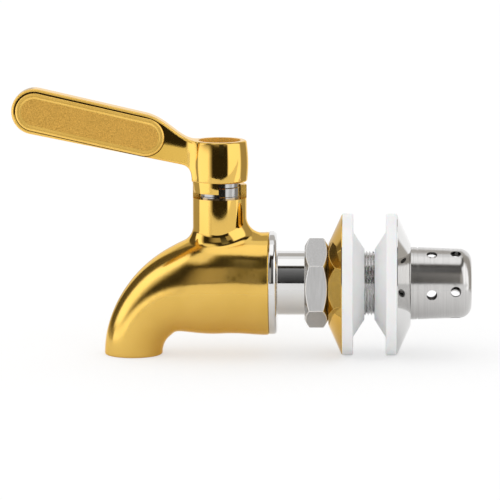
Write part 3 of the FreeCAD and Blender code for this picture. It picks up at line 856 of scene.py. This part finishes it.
@dataclass
class Body:
    """Horn body, gland nut, tail pipe and the pieces sealed inside; lengths in millimetres."""

    finishes: Finishes
    wall_rise: float = 1.3       # from the top of the neck to the foot of the lever's lug
    wall_end: float = 0.98       # part of their normal along Y above which the wall's faces are its ends

    def build(self) -> None:
        """Builds the body's pieces."""
        finishes = self.finishes
        finished("spout_casting", self.casting(), [finishes.body_gold, finishes.satin_gold], "spigot",
                 Slot.GOLD, "spout_body", sharp=28.0)
        # the gland nut gets the steel darkened as painted shade
        finished("gland_nut_visual", surface_of("gland_nut"), [finishes.gap_shade], "spigot", Slot.POLISHED,
                 "gland_nut")
        TailPipe(finishes).build()
        for node in ("front_seat", "rear_seat", "thrust_washer", "stem_packing"):
            dress(node, finishes.seat)
        dress("tail_o_ring", finishes.rubber)

    def casting(self) -> bmesh.types.BMesh:
        """Body of the spigot, the milled ends of its stop wall numbered 1 for a satin finish."""
        mesh = surface_of("spout_body")
        neck_top = millimetres("handle")[0].z - self.wall_rise
        for face in mesh.faces:
            face.normal_update()
            on_wall = face.calc_center_median().z / MM > neck_top
            if on_wall and abs(face.normal.z) < UPRIGHT / 2 and abs(face.normal.y) > self.wall_end:
                face.material_index = 1
        return mesh


@dataclass(frozen=True)
class Panel:
    """Soft panel of the studio, by direction from the spigot.

    Args:
        azimuth: Where it begins and ends, in degrees from the viewer's side towards +X.
        elevation: Where it begins and ends, in degrees above the table.
        strength: Its level.
        soft: Width of its soft edges in degrees: left, right, bottom and top.
    """

    azimuth: tuple[float, float]
    elevation: tuple[float, float]
    strength: float
    soft: tuple[float, float, float, float] = (5.0, 5.0, 5.0, 5.0)


@dataclass(frozen=True)
class Card:
    """Upright glowing card in front of the spigot that only mirrors see; lengths in metres.

    Args:
        name: Name of the card.
        away: Its distance in front of the X axis.
        across: Its left and right edge.
        upright: Its bottom and top edge.
        soft: Width of its soft left edge.
        levels: Its glow at the bottom and at the top.
    """

    name: str
    away: float
    across: tuple[float, float]
    upright: tuple[float, float]
    soft: float
    levels: tuple[float, float]

    def build(self) -> None:
        """Builds the card."""
        mesh = bmesh.new()
        (left, right), (bottom, top) = self.across, self.upright
        corners = [(left, bottom), (right, bottom), (right, top), (left, top)]
        mesh.faces.new([mesh.verts.new((x, -self.away, z)) for x, z in corners])
        data = bpy.data.meshes.new(self.name)
        mesh.to_mesh(data)
        mesh.free()
        graph = Graph(self.name)
        glow = graph.add("ShaderNodeEmission")
        clear = graph.add("ShaderNodeBsdfTransparent")
        mix = graph.add("ShaderNodeMixShader")
        path = graph.add("ShaderNodeLightPath")
        place = graph.add("ShaderNodeSeparateXYZ")
        graph.link(graph.coordinates(), place.inputs[0])
        share = graph.spread(place.outputs["X"], left, left + self.soft, 0.0, 1.0)
        graph.link(graph.spread(place.outputs["Z"], bottom, top, *self.levels), glow.inputs["Strength"])
        graph.link(graph.maths("MULTIPLY", path.outputs["Is Glossy Ray"], share), mix.inputs[0])
        graph.link(clear.outputs[0], mix.inputs[1])
        graph.link(glow.outputs[0], mix.inputs[2])
        graph.link(mix.outputs[0], graph.output.inputs["Surface"])
        data.materials.append(graph.material)
        card = bpy.data.objects.new(self.name, data)
        bpy.context.scene.collection.objects.link(card)


@dataclass
class Studio:
    """White table, white surroundings and soft panels; lengths in metres."""

    floor_z: float
    ambient: float = 1.04        # even light on everything that doesn't mirror
    from_left: float = 0.2       # how much more of it comes from the spout's side
    base: float = 0.03           # level that mirrors see where no panel is
    warm: Colour = (1.0, 0.86, 0.66)  # tint of the panels' dimmest light
    white_from: float = 0.8      # level from which a panel is white
    table_half: float = 3.0      # half the table's width
    table_white: float = 0.82    # the table's colour as light and mirrors meet it
    table_seen: float = 0.42     # and as the camera sees it
    table_glow: float = 0.14     # its glow as light and mirrors meet it
    glow_seen: float = 0.58      # and as the camera sees it
    middle_x: float = -0.03      # middle of the part of the table that mirrors see
    near: float = 0.12           # radius of that part
    near_fade: float = 0.03      # width of its soft edge
    cards: tuple[Card, ...] = (
        Card("low_card", 0.067, (-0.11, 0.4), (-0.0179, 0.0080), 0.04, (1.0, 1.0)),
        Card("dark_card", 0.25, (-0.035, 0.055), (0.03, 0.47), 0.004, (0.02, 0.3)),
    )
    panels: tuple[Panel, ...] = (
        Panel((-114.0, -58.0), (2.0, 64.0), 1.65, (12.0, 24.0, 6.0, 8.0)),
        Panel((-101.0, -24.0), (-95.0, 11.0), 1.5, (8.0, 26.0, 1.0, 10.0)),
        Panel((31.0, 106.0), (-95.0, 62.0), 1.5, (9.0, 16.0, 1.0, 8.0)),
        Panel((-50.0, 46.0), (7.0, 46.0), 0.46, (38.0, 16.0, 3.0, 8.0)),
        Panel((-84.0, -14.0), (46.0, 80.0), 1.1, (10.0, 20.0, 12.0, 1.0)),
        Panel((-260.0, -95.0), (-95.0, 6.0), 0.5, (1.0, 4.0, 1.0, 8.0)),
        Panel((-260.0, -95.0), (0.0, 64.0), 0.12, (1.0, 1.0, 1.0, 6.0)),
        Panel((95.0, 260.0), (-95.0, 64.0), 0.45, (4.0, 1.0, 1.0, 6.0)),
        Panel((-260.0, -142.0), (3.0, 38.0), 1.05, (1.0, 5.0, 4.0, 6.0)),
        Panel((-260.0, -142.0), (-95.0, 8.0), 0.7, (1.0, 5.0, 1.0, 4.0)),
        Panel((142.0, 260.0), (-95.0, 38.0), 1.05, (5.0, 1.0, 1.0, 6.0)),
        Panel((-260.0, -140.0), (30.0, 60.0), 0.55, (1.0, 5.0, 1.0, 1.0)),
        Panel((140.0, 260.0), (30.0, 60.0), 0.55, (5.0, 1.0, 1.0, 1.0)),
        Panel((-260.0, -130.0), (56.0, 100.0), 1.0, (1.0, 5.0, 5.0, 1.0)),
        Panel((130.0, 260.0), (56.0, 100.0), 1.0, (5.0, 1.0, 5.0, 1.0)),
        Panel((-400.0, 400.0), (70.0, 100.0), 1.3, (1.0, 1.0, 6.0, 1.0)),
    )

    def build(self) -> None:
        """Builds the table, the cards and the world."""
        self.table()
        for card in self.cards:
            card.build()
        self.world()

    def table(self) -> None:
        """White table top; the camera sees it with its shadow, mirrors see only its near part."""
        mesh = bmesh.new()
        bmesh.ops.create_grid(mesh, x_segments=1, y_segments=1, size=self.table_half,
                              matrix=Matrix.Translation(Vector((0.0, 0.0, self.floor_z))))
        data = bpy.data.meshes.new("table_top")
        mesh.to_mesh(data)
        mesh.free()
        graph = Graph("white_table")
        graph.shader.inputs["Roughness"].default_value = 0.7
        graph.shader.inputs["Specular IOR Level"].default_value = 0.0
        path = graph.add("ShaderNodeLightPath")
        seen = path.outputs["Is Camera Ray"]
        white = graph.maths("MULTIPLY_ADD", seen, self.table_seen - self.table_white, self.table_white)
        glow = graph.maths("MULTIPLY_ADD", seen, self.glow_seen - self.table_glow, self.table_glow)
        graph.link(white, graph.shader.inputs["Base Color"])
        graph.link(glow, graph.shader.inputs["Emission Strength"])
        graph.shader.inputs["Emission Color"].default_value = (*WHITE, 1.0)
        place = graph.add("ShaderNodeSeparateXYZ")
        graph.link(graph.coordinates(), place.inputs[0])
        x, y = graph.maths("SUBTRACT", place.outputs["X"], self.middle_x), place.outputs["Y"]
        away = graph.maths("SQRT", graph.maths("MULTIPLY_ADD", x, x, graph.maths("MULTIPLY", y, y)))
        far = graph.spread(away, self.near, self.near + self.near_fade, 0.0, 1.0)
        clear = graph.add("ShaderNodeBsdfTransparent")
        mix = graph.add("ShaderNodeMixShader")
        graph.link(graph.maths("MULTIPLY", far, path.outputs["Is Glossy Ray"]), mix.inputs[0])
        graph.link(graph.shader.outputs[0], mix.inputs[1])
        graph.link(clear.outputs[0], mix.inputs[2])
        graph.link(mix.outputs[0], graph.output.inputs["Surface"])
        data.materials.append(graph.material)
        table = bpy.data.objects.new("table_top", data)
        bpy.context.scene.collection.objects.link(table)

    @staticmethod
    def band(tree: bpy.types.NodeTree, value: bpy.types.NodeSocket, limits: tuple[float, float],
             soft: tuple[float, float]) -> bpy.types.NodeSocket:
        """1 where the value lies between the limits, falling to 0 over the soft widths inside them."""
        result = []
        for start, end in ((limits[0], limits[0] + soft[0]), (limits[1], limits[1] - soft[1])):
            node = tree.nodes.new("ShaderNodeMapRange")
            node.interpolation_type = "SMOOTHSTEP"
            node.inputs["From Min"].default_value = start
            node.inputs["From Max"].default_value = end
            tree.links.new(value, node.inputs["Value"])
            result.append(node.outputs["Result"])
        return maths(tree, "MULTIPLY", *result)

    def world(self) -> None:
        """Panels for the mirrors, even light for the rest and plain white for the camera."""
        world = bpy.data.worlds.new("studio")
        bpy.context.scene.world = world
        world.use_nodes = True
        tree = world.node_tree
        tree.nodes.clear()
        coordinates = tree.nodes.new("ShaderNodeTexCoord")
        split = tree.nodes.new("ShaderNodeSeparateXYZ")
        tree.links.new(coordinates.outputs["Generated"], split.inputs[0])
        x, y, z = split.outputs
        from_viewer = maths(tree, "ARCTAN2", x, maths(tree, "MULTIPLY", y, -1.0))
        azimuth = maths(tree, "MULTIPLY", from_viewer, math.degrees(1))
        elevation = maths(tree, "MULTIPLY", maths(tree, "ARCSINE", z), math.degrees(1))
        level = maths(tree, "ADD", self.base, 0.0)
        for panel in self.panels:
            across = self.band(tree, azimuth, panel.azimuth, panel.soft[:2])
            up = self.band(tree, elevation, panel.elevation, panel.soft[2:])
            shape = maths(tree, "MULTIPLY", across, up)
            level = maths(tree, "MAXIMUM", level, maths(tree, "MULTIPLY", shape, panel.strength))
        path = tree.nodes.new("ShaderNodeLightPath")
        glossy = path.outputs["Is Glossy Ray"]
        lean = maths(tree, "MULTIPLY_ADD", x, -self.from_left, self.ambient)
        even = maths(tree, "MULTIPLY", maths(tree, "SUBTRACT", 1.0, glossy), lean)
        strength = maths(tree, "ADD", maths(tree, "MULTIPLY", level, glossy), even)
        shown = maths(tree, "MAXIMUM", strength, path.outputs["Is Camera Ray"])
        room = tree.nodes.new("ShaderNodeBackground")
        warmth = tree.nodes.new("ShaderNodeValToRGB")
        dim, full = warmth.color_ramp.elements
        dim.color = (*self.warm, 1.0)
        full.position = self.white_from
        full.color = (*WHITE, 1.0)
        tree.links.new(shown, warmth.inputs["Fac"])
        tree.links.new(warmth.outputs["Color"], room.inputs["Color"])
        tree.links.new(shown, room.inputs["Strength"])
        output = tree.nodes.new("ShaderNodeOutputWorld")
        tree.links.new(room.outputs[0], output.inputs["Surface"])


@dataclass
class View:
    """Camera at the photograph's angle, a long way off; lengths in millimetres, angles in degrees."""

    target: tuple[float, float, float] = (-25.55, 0.0, 8.2)
    azimuth: float = 1.6
    elevation: float = 8.5
    roll: float = 0.1
    distance: float = 1100.0
    span: float = 123.8          # width of the picture at the target

    def build(self) -> None:
        """Places the camera."""
        turn, lift = math.radians(self.azimuth), math.radians(self.elevation)
        back = Vector((math.sin(turn) * math.cos(lift), -math.cos(turn) * math.cos(lift), math.sin(lift)))
        data = bpy.data.cameras.new("camera")
        data.sensor_width = 36.0
        data.lens = data.sensor_width * self.distance / self.span
        data.clip_start, data.clip_end = 0.01, 20.0
        camera = bpy.data.objects.new("camera", data)
        camera.rotation_mode = "QUATERNION"
        roll = Matrix.Rotation(math.radians(-self.roll), 4, "Z").to_quaternion()
        camera.rotation_quaternion = (-back).to_track_quat("-Z", "Y") @ roll
        camera.location = (Vector(self.target) + back * self.distance) * MM
        bpy.context.scene.collection.objects.link(camera)
        bpy.context.scene.camera = camera


def main() -> None:
    """Builds the camera, the studio and every piece of the spigot."""
    bpy.context.scene.view_settings.view_transform = "Standard"
    View().build()
    Studio(CAD_LOW.z).build()
    finishes = Finishes()
    Body(finishes).build()
    Lever(finishes).build()
    WallClamp(finishes).build()


if __name__ == "__main__":
    main()
